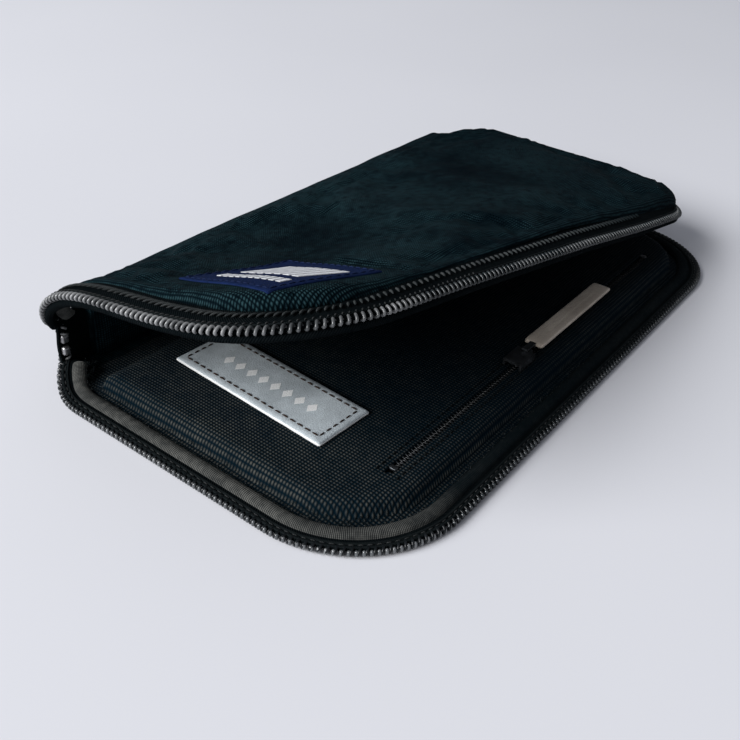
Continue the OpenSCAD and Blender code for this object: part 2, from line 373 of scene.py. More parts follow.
def coil(name, centre, across, up, half, height, wire, material, shape=as_is, pitch=PITCH):
    """A flattened helix of wire along a line of points, one turn a pitch."""
    along = run_along(centre)
    s = np.linspace(0, along[-1], int(along[-1] / pitch * TURN_POINTS))
    pick = lambda a: np.stack([np.interp(s, along, a[:, k]) for k in range(3)], -1)
    c, e, v = pick(centre), pick(across), pick(up)
    phase = TAU * s / pitch
    # The squared-off wave makes flat legs and tight heads, as in a real zip coil.
    flat = lambda w: np.sign(w) * np.abs(w) ** 0.7
    line = c + e * (half * np.cos(phase))[:, None] + v * (height * flat(np.sin(phase)))[:, None]
    tangent = unit(np.gradient(line, axis=0))
    radial = line - c
    radial = unit(radial - tangent * (radial * tangent).sum(1, keepdims=True))
    other = np.cross(tangent, radial)
    a = np.arange(WIRE_SIDES) * TAU / WIRE_SIDES
    round_wire = radial[:, None] * np.cos(a)[:, None] + other[:, None] * np.sin(a)[:, None]
    rings = line[:, None] + wire * round_wire
    uvs = np.stack(np.broadcast_arrays(s[:, None] * 3, (a * wire)[None, :]), -1)
    return swept(name, shape(rings), uvs, material)


def edge_coil(name, edge, inset, z, half, height, wire, material, shape, tilt=0.0):
    """A coil that follows a half's edge, tilted outwards."""
    plan, n = edge.at(np.linspace(0, edge.length, int(edge.length)), inset)
    across = at_height(-n * math.cos(tilt), -math.sin(tilt))
    up = at_height(-n * math.sin(tilt), math.cos(tilt))
    return coil(name, at_height(plan, z), across, up, half, height, wire, material, shape)


def edge_threads(name, edge, insets, z, material, shape, pitch, lean, radius, rise, ends=(1, 1)):
    """A row of threads along an edge, each from one inset to another and leaning along the edge."""
    along = np.arange(ends[0], edge.length - ends[1] - abs(lean), pitch)
    a, b = (at_height(edge.at(along + shift, inset)[0], z) for shift, inset in zip((0, lean), insets))
    return tubes(name, a, b, (0, 0, 1), radius, rise, material, shape)


# ---- Materials


class Tree:
    """Short forms for building one material's nodes."""

    def __init__(self, name, roughness=0.8, metallic=0.0, specular=0.5):
        self.material = bpy.data.materials.new(name)
        self.material.use_nodes = True
        self.nodes = self.material.node_tree.nodes
        self.links = self.material.node_tree.links
        self.shader = self.nodes["Principled BSDF"]
        self.set("Roughness", roughness)
        self.set("Metallic", metallic)
        self.set("Specular IOR Level", specular)

    def plug(self, target, value):
        """Links a socket to an output, or gives it a plain value."""
        if hasattr(value, "is_output"):
            self.links.new(value, target)
        else:
            target.default_value = value

    def set(self, socket, value):
        self.plug(self.shader.inputs[socket], value)

    def node(self, kind, *values, **settings):
        """A new node with these settings, and values or links for its first inputs."""
        node = self.nodes.new("ShaderNode" + kind)
        for key, setting in settings.items():
            setattr(node, key, setting)
        for target, value in zip(node.inputs, values):
            self.plug(target, value)
        return node

    def math(self, operation, *values, clamp=False):
        return self.node("Math", *values, operation=operation, use_clamp=clamp).outputs[0]

    def times(self, a, b, clamp=False):
        return self.math("MULTIPLY", a, b, clamp=clamp)

    def scaled(self, value, rate, shift):
        return self.math("MULTIPLY_ADD", value, rate, shift)

    def flat(self):
        """The piece's flat coordinates in millimetres, as (u, v) sockets."""
        split = self.node("SeparateXYZ", self.node("UVMap", uv_map="flat").outputs[0])
        return split.outputs[0], split.outputs[1]

    def place(self):
        """Object coordinates, in metres."""
        return self.node("TexCoord").outputs["Object"]

    def paint_light(self, value, painted_light):
        """Painted light and shade along the pouch: multiplies the colour by a falloff in x; its argument is
        (x of its start, x of its end, share left) or None.
        """
        if painted_light is None:
            return value
        start, end, share = painted_light
        x = self.node("SeparateXYZ", self.place()).outputs[0]
        return self.times(value, self.spread(x, start * MM, end * MM, 1.0, share), clamp=True)

    def noise(self, scale, detail=3.0, roughness=0.5):
        node = self.node("TexNoise", self.place())
        for name, value in (("Scale", scale), ("Detail", detail), ("Roughness", roughness)):
            node.inputs[name].default_value = value
        return node.outputs[0]

    def spread(self, value, low, high, to_low=0.0, to_high=1.0):
        return self.node("MapRange", value, low, high, to_low, to_high).outputs[0]

    def colour(self, factor, dark, light, painted_light=None):
        """The base colour, from dark to light."""
        node = self.node("Mix", self.paint_light(factor, painted_light), data_type="RGBA")
        node.inputs[6].default_value = (*dark, 1.0)
        node.inputs[7].default_value = (*light, 1.0)
        self.set("Base Color", node.outputs[2])

    def bump(self, height, distance):
        node = self.node("Bump")
        node.inputs["Strength"].default_value = 1.0
        node.inputs["Distance"].default_value = distance * MM
        self.plug(node.inputs["Height"], height)
        self.set("Normal", node.outputs[0])

    def ridges(self, value, rate):
        """The size of a sine wave: rounded ridges from 0 to 1."""
        return self.math("ABSOLUTE", self.math("SINE", self.times(value, rate)))

    def weave(self, u, v, pitch):
        """Height of a plain weave, from 0 to 1: each thread rises over every second crossing."""
        u = self.math("DIVIDE", u, pitch)
        v = self.math("DIVIDE", v, pitch)
        heights = []
        for a, b, shift in ((u, v, 0.0), (v, u, math.pi)):
            phase = self.scaled(self.math("ADD", b, self.math("FLOOR", a)), math.pi, shift)
            wave = self.scaled(self.math("SINE", phase), 0.5, 0.5)
            crossing = self.scaled(self.ridges(b, math.pi), 0.75, 0.25)
            heights.append(self.times(self.times(self.ridges(a, math.pi), wave), crossing))
        return self.math("MAXIMUM", *heights)


def canvas(name, dark, light, pitch, contrast, bump, fuzz, wear, wobble=0.1, slubs=(0.4, 1.3), painted_light=None):
    """Plain-weave cloth with uneven threads, fuzz and a little wear."""
    t = Tree(name, roughness=0.9, specular=0.02)
    u, v = t.flat()
    drift = t.spread(t.noise(90, 2), 0.3, 0.7, -wobble, wobble)
    height = t.weave(t.math("ADD", drift, u), t.math("SUBTRACT", v, drift), pitch)
    slub = t.noise(420, 4, 0.7)
    crest = t.times(t.math("POWER", height, contrast), t.spread(slub, 0.32, 0.68, *slubs))
    worn = t.spread(t.noise(26, 5, 0.62), 0.3, 0.72, 1 - wear, 1 + wear)
    t.colour(t.times(crest, worn, clamp=True), dark, light, painted_light)
    t.set("Roughness", t.spread(slub, 0.2, 0.8, 0.72, 0.95))
    t.bump(t.scaled(slub, fuzz, height), bump)
    return t.material


def ribbed(name, dark, light, pitch, lean=0.0, bump=0.12, wear=0.4, painted_light=None):
    """Narrow woven tape: ribs across its length, leaning if it is a twill."""
    t = Tree(name, roughness=0.9, specular=0.01)
    u, v = t.flat()
    rib = t.ridges(t.scaled(v, lean, u), math.pi / pitch)
    cross = t.ridges(v, math.pi / 0.42)
    height = t.times(rib, t.scaled(cross, 0.4, 0.6))
    slub = t.noise(600, 3, 0.6)
    crest = t.times(height, t.spread(slub, 0.3, 0.7, 0.5, 1.1))
    worn = t.spread(t.noise(45, 4, 0.6), 0.3, 0.7, 1 - wear, 1 + wear)
    t.colour(t.times(crest, worn, clamp=True), dark, light, painted_light)
    t.bump(t.scaled(slub, 0.3, height), bump)
    return t.material


def nylon(name, dark, light, specular, painted_light=None):
    """Glossy coil wire with fine drawn lines and dull patches."""
    t = Tree(name, roughness=0.3, specular=specular)
    grain = t.noise(900, 3, 0.6)
    t.colour(t.spread(t.noise(60, 3), 0.35, 0.7), dark, light, painted_light)
    t.set("Roughness", t.spread(grain, 0.3, 0.7, 0.16, 0.36))
    t.bump(grain, 0.02)
    return t.material


def thread(name, dark, light, painted_light=None):
    """Twisted sewing thread."""
    t = Tree(name, roughness=0.8, specular=0.04)
    u, v = t.flat()
    twist = t.math("SINE", t.times(t.scaled(v, 1.4, u), TAU / 0.45))
    twist = t.scaled(twist, 0.5, 0.5)
    shade = t.times(twist, t.spread(t.noise(500), 0.3, 0.7, 0.6, 1.2), clamp=True)
    t.colour(shade, dark, light, painted_light)
    t.bump(twist, 0.06)
    return t.material


def leather(name, dark, light):
    """Grained leather with creases and soft wear."""
    t = Tree(name, roughness=0.55, specular=0.4)
    pebbles = t.node("TexVoronoi", t.place(), feature="DISTANCE_TO_EDGE")
    pebbles.inputs["Scale"].default_value = 1500
    grain = t.spread(pebbles.outputs["Distance"], 0.0, 0.12)
    fine = t.noise(900, 4, 0.6)
    t.colour(t.times(t.spread(t.noise(70, 5, 0.65), 0.3, 0.7), t.scaled(grain, 0.5, 0.5)), dark, light)
    t.set("Roughness", t.spread(fine, 0.3, 0.7, 0.42, 0.68))
    t.bump(t.scaled(fine, 0.5, grain), 0.05)
    return t.material


def metal(name, colour, rough):
    """Cast metal with a fine grain and rubbed patches."""
    t = Tree(name, metallic=0.9, roughness=rough)
    grain = t.noise(1200, 3)
    t.colour(t.spread(t.noise(220, 3), 0.35, 0.65), tuple(c * 0.6 for c in colour), colour)
    t.set("Roughness", t.spread(grain, 0.3, 0.7, rough - 0.1, rough + 0.15))
    t.bump(grain, 0.02)
    return t.material


# Painted shade: the outer canvas gets darker from x 0 to 95 mm, down to 0.55 of its colour, for the light
# falling off towards the far end.
OUTER = canvas("outer_canvas", (0.0001, 0.0026, 0.0048), (0.018, 0.044, 0.052), pitch=0.78, contrast=1.7,
               bump=0.30, fuzz=1.0, wear=1.1, wobble=0.25, slubs=(0.05, 1.9), painted_light=(0, 95, 0.55))
# Painted shade: the inner panel gets darker from x -90 to -30 mm, down to half its colour, for the shadow of
# the lid.
INNER = canvas("inner_canvas", (0.0001, 0.0050, 0.0095), (0.062, 0.064, 0.058), pitch=0.95, contrast=1.8,
               bump=0.28, fuzz=0.25, wear=0.5, wobble=0.06, painted_light=(-90, -30, 0.5))
LINING = canvas("lid_lining_cloth", (0.0005, 0.0020, 0.0030), (0.010, 0.014, 0.015), pitch=0.6, contrast=1.5,
                bump=0.1, fuzz=0.3, wear=0.3)
NAVY = canvas("navy_damask", (0.0025, 0.007, 0.026), (0.013, 0.027, 0.098), pitch=0.32, contrast=1.2,
              bump=0.05, fuzz=0.2, wear=0.3)
# Painted light: the binding keeps its full colour at the near end, where the window lights it, and darkens to
# a tenth beyond x -66 mm.
BINDING = ribbed("binding_tape", (0.001, 0.004, 0.006), (0.125, 0.126, 0.118), pitch=0.5, bump=0.18, wear=0.5,
                 painted_light=(-88, -66, 0.1))
TAPE = ribbed("zip_tape", (0.0004, 0.0016, 0.0024), (0.0060, 0.0080, 0.0088), pitch=0.7, lean=0.9, bump=0.14)
# Painted highlight: the coil heads are light at the near end and darken to a fifth beyond x -50 mm.
HEADS = nylon("zip_heads", (0.012, 0.018, 0.022), (0.150, 0.158, 0.164), specular=0.9, painted_light=(-84, -50, 0.2))
# Painted highlight and shade: the coil is light at the near end, where the window glints on it, and darkens
# to 0.14 beyond x -50 mm.
COIL = nylon("zip_coil", (0.006, 0.010, 0.012), (0.300, 0.306, 0.310), specular=0.5, painted_light=(-104, -50, 0.14))
BLACK_NYLON = nylon("black_nylon", (0.002, 0.0035, 0.004), (0.009, 0.011, 0.013), specular=0.25)
BLACK_THREAD = thread("black_thread", (0.0008, 0.0022, 0.003), (0.014, 0.018, 0.019))
# Painted shade: the grey thread darkens from x -10 to 64 mm, down to 0.06 of its colour, towards the far end.
GREY_THREAD = thread("grey_thread", (0.002, 0.006, 0.008), (0.088, 0.094, 0.094), painted_light=(-10, 64, 0.06))
DIM_THREAD = thread("dim_thread", (0.006, 0.008, 0.009), (0.060, 0.064, 0.065))
BROWN_THREAD = thread("brown_thread", (0.012, 0.007, 0.005), (0.07, 0.045, 0.035))
NAVY_THREAD = thread("navy_thread", (0.004, 0.008, 0.030), (0.02, 0.035, 0.10))
WHITE_THREAD = thread("white_thread", (0.45, 0.47, 0.50), (0.88, 0.89, 0.91))
GREY_LEATHER = leather("grey_leather", (0.30, 0.34, 0.365), (0.60, 0.67, 0.71))
PALE_EDGE = leather("cut_edge", (0.74, 0.76, 0.76), (0.93, 0.94, 0.94))
TAN_LEATHER = leather("tan_leather", (0.42, 0.36, 0.30), (0.72, 0.64, 0.54))
BRIGHT_METAL = metal("stop_metal", (0.42, 0.42, 0.43), rough=0.35)
DARK_METAL = metal("slider_metal", (0.10, 0.11, 0.12), rough=0.38)

# ---- Panels


def corner_radius(front, x):
    return np.where((front == LID_FRONT) & (np.asarray(x) > 0), LID_FAR_R, FRONT_R)


def inset_from(x, y, front, border, reach=0.0):
    """Distance inside a half's outline at a border inset; the back counts only at its corners.
    reach is how much further out a cover goes there."""
    r = corner_radius(front, x)
    x = np.abs(x)
    side = HALF_L - border - x
    ahead = y + front - border
    d = np.minimum(side, ahead)
    cx, cy = HALF_L - r, -front + r
    corner = (x > cx) & (y < cy)
    d = np.where(corner, r - border - np.hypot(x - cx, y - cy), d)
    back = (x > BACK_CX) & (y > BACK_CY)
    rounded = np.minimum(BACK_R - border + reach - np.hypot(x - BACK_CX, y - BACK_CY), side)
    return np.where(back, rounded, d)


def half_width(y, front, border, least, side, reach=0.0):
    """Half the width of a half's outline at a border inset, and at least that of the spine."""
    r = float(corner_radius(front, side)) - border
    lead = np.clip(-front + border + r - y, 0, r)
    w = HALF_L - border - r + np.sqrt(np.clip(r * r - lead * lead, 0, None))
    rb = BACK_R - border + reach
    trail = np.clip(y - BACK_CY, 0, rb)
    back = BACK_CX + np.sqrt(np.clip(rb * rb - trail * trail, 0, None))
    return np.minimum(w, np.maximum(back, least))


def spread_across(y, q, front, border, least=0.0, reach=0.0):
    """X of a panel's points: q runs from -1 at the near side to 1 at the far one."""
    near, far = (half_width(y, front, border, least, side, reach)[:, None] for side in (-1, 1))
    return np.where(q[None, :] < 0, near, far) * q[None, :]


def panel_rows(front, border, back, step=2.0, corner_steps=16):
    """Y of the rows of a panel: close together at the front corners, then even."""
    r = FRONT_R - border
    angles = np.linspace(0, math.pi / 2, corner_steps)
    first = -front + border + r * (1 - np.cos(angles))
    rest = np.linspace(first[-1], back, int((back - first[-1]) / step))[1:]
    return np.concatenate([first, rest])


def columns(count):
    """Positions across a panel from -1 to 1, close together at both sides."""
    u = np.linspace(-1, 1, count)
    return np.sign(u) * (1 - (1 - np.abs(u)) ** 1.25)


def plan_grid(rows, count, front, border, least=0.0, reach=0.0):
    """X and y of a panel's points, in the given rows and so many columns."""
    x = spread_across(rows, columns(count), front, border, least, reach)
    return x, np.broadcast_to(rows[:, None], x.shape)


def relief(x, y, scale, seed):
    """Soft unevenness of padded cloth, about -1 to 1."""
    at = zip(x.ravel() / scale, y.ravel() / scale)
    return np.array([noise.fractal(Vector((u, v, seed)), 0.9, 2.0, 3) for u, v in at]).reshape(x.shape)


def off_label(x, y):
    """0 under the woven label and 1 away from it."""
    dx, dy = x - WOVEN_CENTRE[0], y - WOVEN_CENTRE[1]
    c, s = math.cos(WOVEN_TURN), math.sin(WOVEN_TURN)
    beyond = np.maximum(np.abs(dx * c + dy * s) - WOVEN_HALF[0], np.abs(dy * c - dx * s) - WOVEN_HALF[1])
    return smooth((beyond - 1) / 6)


def blurred(a, passes):
    """A grid of vectors averaged with its neighbours."""
    for _ in range(passes):
        wide = np.pad(a, ((1, 1), (1, 1), (0, 0)), mode="edge")
        a = (wide[:-2, 1:-1] + wide[2:, 1:-1] + wide[1:-1, :-2] + wide[1:-1, 2:]) / 4
    return a


def relax(p, free, slack, frames=18):
    """Lets a grid of cloth settle under pressure where it is free, and returns each point's small wrinkle."""
    mesh = bpy.data.meshes.new("cloth_study")
    mesh.from_pydata((p.reshape(-1, 3) * MM).tolist(), [], grid_faces(*p.shape[:2]))
    obj = bpy.data.objects.new("cloth_study", mesh)
    scene = bpy.context.scene
    scene.collection.objects.link(obj)
    held = obj.vertex_groups.new(name="held")
    for k, f in enumerate(free.ravel()):
        if f < 1:
            held.add([k], 1 - float(f), "REPLACE")
    rules = obj.modifiers.new("cloth", "CLOTH").settings
    rules.vertex_group_mass = "held"
    rules.quality = 6
    rules.mass = 0.25
    rules.tension_stiffness = rules.compression_stiffness = 20
    rules.bending_stiffness = 0.4
    rules.use_pressure = True
    rules.uniform_pressure_force = 1.5
    rules.shrink_min = -slack
    rules.effector_weights.gravity = 0
    for frame_number in range(1, frames + 1):
        scene.frame_set(frame_number)
    done = obj.evaluated_get(bpy.context.evaluated_depsgraph_get()).data
    co = np.empty(p.size, np.float32)
    done.vertices.foreach_get("co", co)
    move = co.reshape(p.shape) / MM - p
    size = np.linalg.norm(move, axis=-1, keepdims=True)
    move *= WRINKLE * np.tanh(size / WRINKLE) / np.maximum(size, 1e-9)
    bpy.data.objects.remove(obj)
    scene.frame_set(1)
    return move - blurred(move, BROAD)


def rolled(d, width, drop):
    """How far a padded edge falls at a distance d inside it."""
    u = np.clip(d / width, 0, 1)
    return drop * (1 - np.sqrt(1 - (1 - u) ** 2))


def lid_height(x, y):
    """Height of the lid's canvas over the level lid: thin and flat near, fuller far."""
    d = inset_from(x, y, LID_FRONT, LID_COVER_IN, BACK_REACH)
    near = np.clip((HALF_L - x) / (2 * HALF_L), 0, 1)
    back = np.clip((FOLD_Y + 1.5 - y) / 9, 0, 1) ** 0.5
    puff = (PUFF - NEAR_FLAT * near) * np.clip(d / 24, 0, 1) ** 0.55 * back
    top = LID_TOP + 0.1 - 1.7 * near ** 0.8 * np.clip((FOLD_Y - y) / 12, 0, 1)
    dx, dy = x - WOVEN_CENTRE[0], y - WOVEN_CENTRE[1]
    across = (dx * math.cos(DISH_TURN) + dy * math.sin(DISH_TURN)) / DISH_R
    top = top - DISH * across * np.exp(-(dx * dx + dy * dy) / (2 * DISH_R ** 2)) * smooth((d + 1) / 4)
    return top + puff - rolled(d, 4.4 - 1.6 * near, 4.2 - 3.0 * smooth(near * 2.2))


def outer_cover(name, front, sign, fold_z, height, uneven, shape, slack=0.0):
    """The canvas of one half, which laps a fold line at the back by a short arc."""
    border = LID_COVER_IN if sign > 0 else COVER_IN
    rows = panel_rows(front, border, FOLD_Y)
    lap = np.radians(np.linspace(4, 42, 8))
    x, y = plan_grid(rows, 84, front, border, SPINE_HALF + 0.6, BACK_REACH)
    z = height(x, y)
    if uneven:
        dents = relief(x, y, 34, 1.7) * np.clip(inset_from(x, y, front, border, BACK_REACH) / 8, 0, 1)
        z = z + sign * uneven * dents * off_label(x, y)
    r = abs(z[-1].mean() - fold_z)
    lap_x = np.broadcast_to(x[-1], (len(lap), x.shape[1]))
    lap_y = FOLD_Y + r * np.sin(lap)[:, None] + 0 * lap_x
    lap_z = fold_z + sign * r * np.cos(lap)[:, None] + (z[-1] - z[-1].mean())[None, :] * 0.5
    p = np.stack([np.vstack([x, lap_x]), np.vstack([y, lap_y]), np.vstack([z, lap_z])], -1)
    if slack:
        free = smooth((inset_from(p[..., 0], p[..., 1], front, border, BACK_REACH) - 1.5) / 4)
        free = free * smooth((FOLD_Y - 1 - p[..., 1]) / 5)
        p = p + relax(p, free, slack) * (free * off_label(p[..., 0], p[..., 1]))[..., None]
    run = np.concatenate([rows, FOLD_Y + r * lap])
    flat = np.stack([p[..., 0], np.broadcast_to(run[:, None], p.shape[:2])], -1)
    return shell(name, p, flat, sign * COVER_THICK, OUTER, shape=shape)


def bulge(points):
    """Pushes the lid's canvas out over the tape at its far side and far front corner."""
    p = np.array(points, float)
    p[..., 1] -= BULGE_FRONT * smooth((p[..., 0] - 20) / 70) * smooth((-5 - p[..., 1]) / 25)
    p[..., 0] += BULGE_FAR * smooth((p[..., 0] - 55) / 40) * smooth((FOLD_Y - 2 - p[..., 1]) / 14)
    return p


def lid_cover():
    cloth = outer_cover("lid_canvas", LID_FRONT, 1, HIGH_Z, lid_height, 1.0, lambda q: lift(bulge(q)), SLACK)
    ride_lid(cloth, "outer_canvas", "lid_cover", "lid_foam")


def ride_lid(obj, slot, *nodes):
    """Bakes the piece's placement into its mesh and hides the lid nodes it stands for, or their three strips
    (far, mid, near).
    """
    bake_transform(obj)
    for node in nodes:
        if node in frame["nodes"]:
            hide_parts(node)
        else:
            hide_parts(*(f"{node}_{part}" for part in ("far", "mid", "near")))


def ride(obj, body, slot, *nodes):
    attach(obj, body)
    if nodes:
        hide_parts(*nodes)


def declare_sheet(obj):
    """Reads a piece's flat pattern coordinates in metres, and does nothing further with them."""
    mesh = obj.data
    flat = np.empty(len(mesh.loops) * 2, np.float32)
    mesh.uv_layers[0].data.foreach_get("uv", flat)
    flat = flat.reshape(-1, 2) * MM


def base_height(x, y):
    """Height of the canvas under the base: flat, with a rounded edge."""
    return rolled(inset_from(x, y, BASE_FRONT, COVER_IN, BACK_REACH), 3.0, 0.9)


def base_cover():
    cloth = outer_cover("base_canvas", BASE_FRONT, -1, LOW_Z, base_height, 0.0, as_is)
    ride(cloth, "base", "outer_canvas", "base_cover", "base_board")
    declare_sheet(cloth)


def panel_height(x, y):
    """Height of the base's inner panel: a flange, a rounded side and a nearly flat top."""
    d = np.minimum(inset_from(x, y, BASE_FRONT, 0), PANEL_BACK - y)
    side = np.clip((d - PANEL_IN) / PANEL_ROUND, 0, 1)
    flange = 1.5 + 0.3 * np.clip((d - 9) / 1.4, 0, 1)
    return flange + (PANEL_TOP - 1.8) * np.sqrt(1 - (1 - side) ** 2)


def base_panel():
    """The inner panel, whose canvas nearly meets over the pocket zip."""
    slot_low, slot_high = box_mm("inner_zip_tape")
    zip_y = (slot_low[1] + slot_high[1]) / 2
    rows = panel_rows(BASE_FRONT, FLANGE_IN, 49.7, 1.6, 22)
    rows = rows[np.abs(rows - zip_y) > SLIT + 0.4]
    rows = np.sort(np.concatenate([rows, [zip_y - SLIT, zip_y + SLIT]]))
    x, y = plan_grid(rows, 130, BASE_FRONT, FLANGE_IN)
    top = np.clip((inset_from(x, y, BASE_FRONT, 0) - PANEL_IN - 2) / 6, 0, 1)
    z = panel_height(x, y) + 0.22 * relief(x, y, 26, 4.1) * top - 0.2 * top
    middle_x, middle_y = ((a[:-1, :-1] + a[1:, 1:]) / 2 for a in (x, y))
    slit = (np.abs(middle_y - zip_y) < SLIT) & (np.abs(middle_x) < slot_high[0])
    p = np.stack([x, y, z], -1)
    cloth = shell("base_panel", p, p[..., :2].copy(), 0.7, INNER, keep=~slit)
    ride(cloth, "base", "inner_canvas", "base_lining", "base_foam", "pocket_sheet")


def lid_lining():
    """The lid's inner panel, padded towards the inside."""
    rows = panel_rows(LID_FRONT, FLANGE_IN, 49.3, 2.4, 14)
    x, y = plan_grid(rows, 70, LID_FRONT, FLANGE_IN)
    d = np.minimum(inset_from(x, y, LID_FRONT, FLANGE_IN), 51 - y)
    z = LID_UNDER - 0.9 + 0.6 * rolled(d, 5, 2.0) + 0.25 * relief(x, y, 30, 8.3)
    p = np.stack([x, y, z], -1)
    cloth = shell("lid_inner_panel", p, p[..., :2].copy(), -0.7, LINING, shape=lift)
    ride_lid(cloth, "inner_canvas", "lid_lining")


# ---- Zip and binding


def base_zip():
    """The base's tape with its coil, cords and stitching, and the binding inside it."""
    section = [(TAPE_OUT, 1.75), (2.2, 2.0), (4.6, 1.9), (8.4, 1.5),
               (8.4, 1.25), (4.6, 1.2), (2.2, 1.2), (TAPE_OUT, 1.5)]
    tape = ribbon("base_tape", base_edge, section, TAPE, settle)
    ride(tape, "base", "zip_tape", "base_zip_tape")
    row = edge_coil("base_coil", base_edge, 1.55, 1.3, 1.0, 0.7, WIRE, BLACK_NYLON, settle)
    ride(row, "base", "zip_coil", "base_zip_coil")
    plan, n = base_edge.at(np.arange(0.5, base_edge.length - 0.5, PITCH), HEAD_INSET)
    low = at_height(plan, HEAD_Z)
    high = low + at_height(n * 0.25, HEAD_RISE)
    heads = tubes("base_coil_heads", low, high, (0, 1, 0.01), HEAD_R, 0, HEADS, settle, sides=10, rings=9)
    ride(heads, "base", "zip_coil")
    for k, (inset, z) in enumerate(((1.9, 2.02), (3.0, 2.0))):
        cord = ribbon(f"base_zip_cord_{k}", base_edge, oval(inset, z, 0.36, 0.3), BLACK_THREAD, settle)
        ride(cord, "base", "zip_tape")
    row = edge_threads("base_zip_stitching", base_edge, (2.45, 2.45), 2.12, DIM_THREAD, settle,
                       pitch=2.3, lean=1.5, radius=0.15, rise=0.08)
    ride(row, "base", "zip_tape")
    section = band_section(BINDING_OUT, BINDING_IN, 1.95, 3.1, 0.5, 13)
    binding = ribbon("base_binding_tape", base_edge, section, BINDING, settle, BINDING_ENDS)
    ride(binding, "base", "binding", "base_binding")


def lid_zip():
    """The lid's tape slopes down from the canvas to the coil, which tilts outwards."""
    z = HIGH_Z
    top = [(1.2, z + 0.1), (2.4, z + 0.75), (4.0, z + 1.6), (6.5, z + 2.3), (10.4, z + 2.75)]
    under = [(i, h - 0.5) for i, h in reversed(top)]
    tape = ribbon("lid_tape", lid_edge, top + under, TAPE, lift)
    ride_lid(tape, "zip_tape", "lid_zip_tape")
    welt = ribbon("lid_edge_welt", lid_edge, oval(2.3, z - 1.5, 1.2, 1.15, 10), TAPE, lift, (6, 4))
    ride_lid(welt, "zip_tape")
    row = edge_coil("lid_coil", lid_edge, COIL_INSET, z + 0.35, 0.95, 0.52, 0.36, COIL, lift, LID_COIL_TILT)
    ride_lid(row, "zip_coil", "lid_zip_coil")
    cord = ribbon("lid_zip_cord", lid_edge, oval(2.8, z + 1.25, 0.3, 0.3), BLACK_THREAD, lift)
    ride_lid(cord, "zip_tape")
    row = edge_threads("lid_zip_sewing", lid_edge, (2.4, 3.3), z + 1.5, DIM_THREAD, lift,
                       pitch=PITCH, lean=0.85, radius=0.2, rise=0.2, ends=(1, 240))
    ride_lid(row, "zip_tape")
    row = edge_threads("lid_edge_overcast", lid_edge, (5.0, 8.1), z + 2.4, GREY_THREAD, lift,
                       pitch=2.1, lean=2.3, radius=0.32, rise=0.3, ends=(1, 140))
    ride_lid(row, "zip_tape")
    low = z - 0.45
    section = [(i, 2 * low - h) for i, h in band_section(BINDING_OUT, BINDING_IN, low, z + 0.5, 0.3)]
    binding = ribbon("lid_binding_tape", lid_edge, section, BINDING, lift, BINDING_ENDS)
    ride_lid(binding, "binding", "lid_binding")


# ---- Spine and its ends


def spine_roll():
    """The padded roll that joins the halves: a stadium section with softly closed ends."""
    arc = np.linspace(0, math.pi, 13)
    section = [(FOLD_Y + ROLL_R * math.cos(a), HIGH_Z + ROLL_R * math.sin(a)) for a in arc]
    section += [(FOLD_Y - ROLL_R * math.cos(a), LOW_Z - ROLL_R * math.sin(a)) for a in arc]
    section = np.array(section)
    section[:, 0] = np.where(section[:, 0] < FOLD_Y, FOLD_Y + (section[:, 0] - FOLD_Y) * 0.5, section[:, 0])
    outward = unit(section - np.array([FOLD_Y, (LOW_Z + HIGH_Z) / 2]))
    around = run_along(section)
    end = np.radians(np.linspace(0, 90, 7))
    straight = SPINE_HALF - ROLL_END
    inner = np.linspace(-straight, straight, 70)
    x = np.concatenate([-straight - ROLL_END * np.cos(end), inner[1:-1], straight + ROLL_END * np.sin(end)])
    shrink = np.concatenate([np.sin(end), np.ones(len(inner) - 2), np.cos(end)]) * 3.4 - 3.4
    rings, uvs = [], []
    for xi, si in zip(x, shrink):
        dent = 0.25 * noise.fractal(Vector((xi / 16, 2.0, 0.5)), 1.0, 2.0, 2)
        along = np.full(len(section), xi)
        rings.append(np.column_stack([along, section + outward * (si + dent)]))
        uvs.append(np.column_stack([along, around]))
    roll = swept("spine_roll", np.array(rings), np.array(uvs), OUTER)
    ride(roll, "spine", "outer_canvas", "spine_cover", "spine_lining", "spine_board")


def smooth_path(points, count):
    """A Catmull-Rom curve through points."""
    p = np.array(points, float)
    p = np.vstack([2 * p[0] - p[1], p, 2 * p[-1] - p[-2]])
    out = []
    for t in np.linspace(0, len(p) - 3 - 1e-6, count):
        k = int(t)
        u = t - k
        a, b, c, d = p[k:k + 4]
        square, cube = 2 * a - 5 * b + 4 * c - d, 3 * b - a - 3 * c + d
        out.append(0.5 * (2 * b + (c - a) * u + square * u * u + cube * u ** 3))
    return np.array(out)


def end_gusset(name, plan, zs, *nodes):
    """The zip tape that stands at one end of the spine, between the two halves."""
    plan = smooth_path(plan, 28)
    pucker = np.sin(np.linspace(0, 5, len(plan)))[None, :] * np.sin(zs * 0.5)[:, None] * 0.35
    x, run, z = np.broadcast_arrays(plan[:, 0], run_along(plan), zs[:, None])
    p = np.stack([x, plan[:, 1] + pucker, z], -1)
    cloth = shell(name, p, np.stack([z, run], -1), 0.8, TAPE)
    ride(cloth, "spine", "zip_tape", *nodes)
    declare_sheet(cloth)


def end_gussets():
    near = [(-83.5, 55.6), (-88, 55.9), (-92.5, 54.2), (-97.2, 53.2)]
    end_gusset("near_zip_gusset", near, np.linspace(0.5, HIGH_Z + 1.2, 18), "zip_end_tabs")
    far = [(83.5, 55.6), (89, 56.6), (94.5, 55.6), (99.0, 51.6), (101.6, 45.8)]
    end_gusset("far_zip_gusset", far, np.linspace(3.4, HIGH_Z - 2.4, 14))


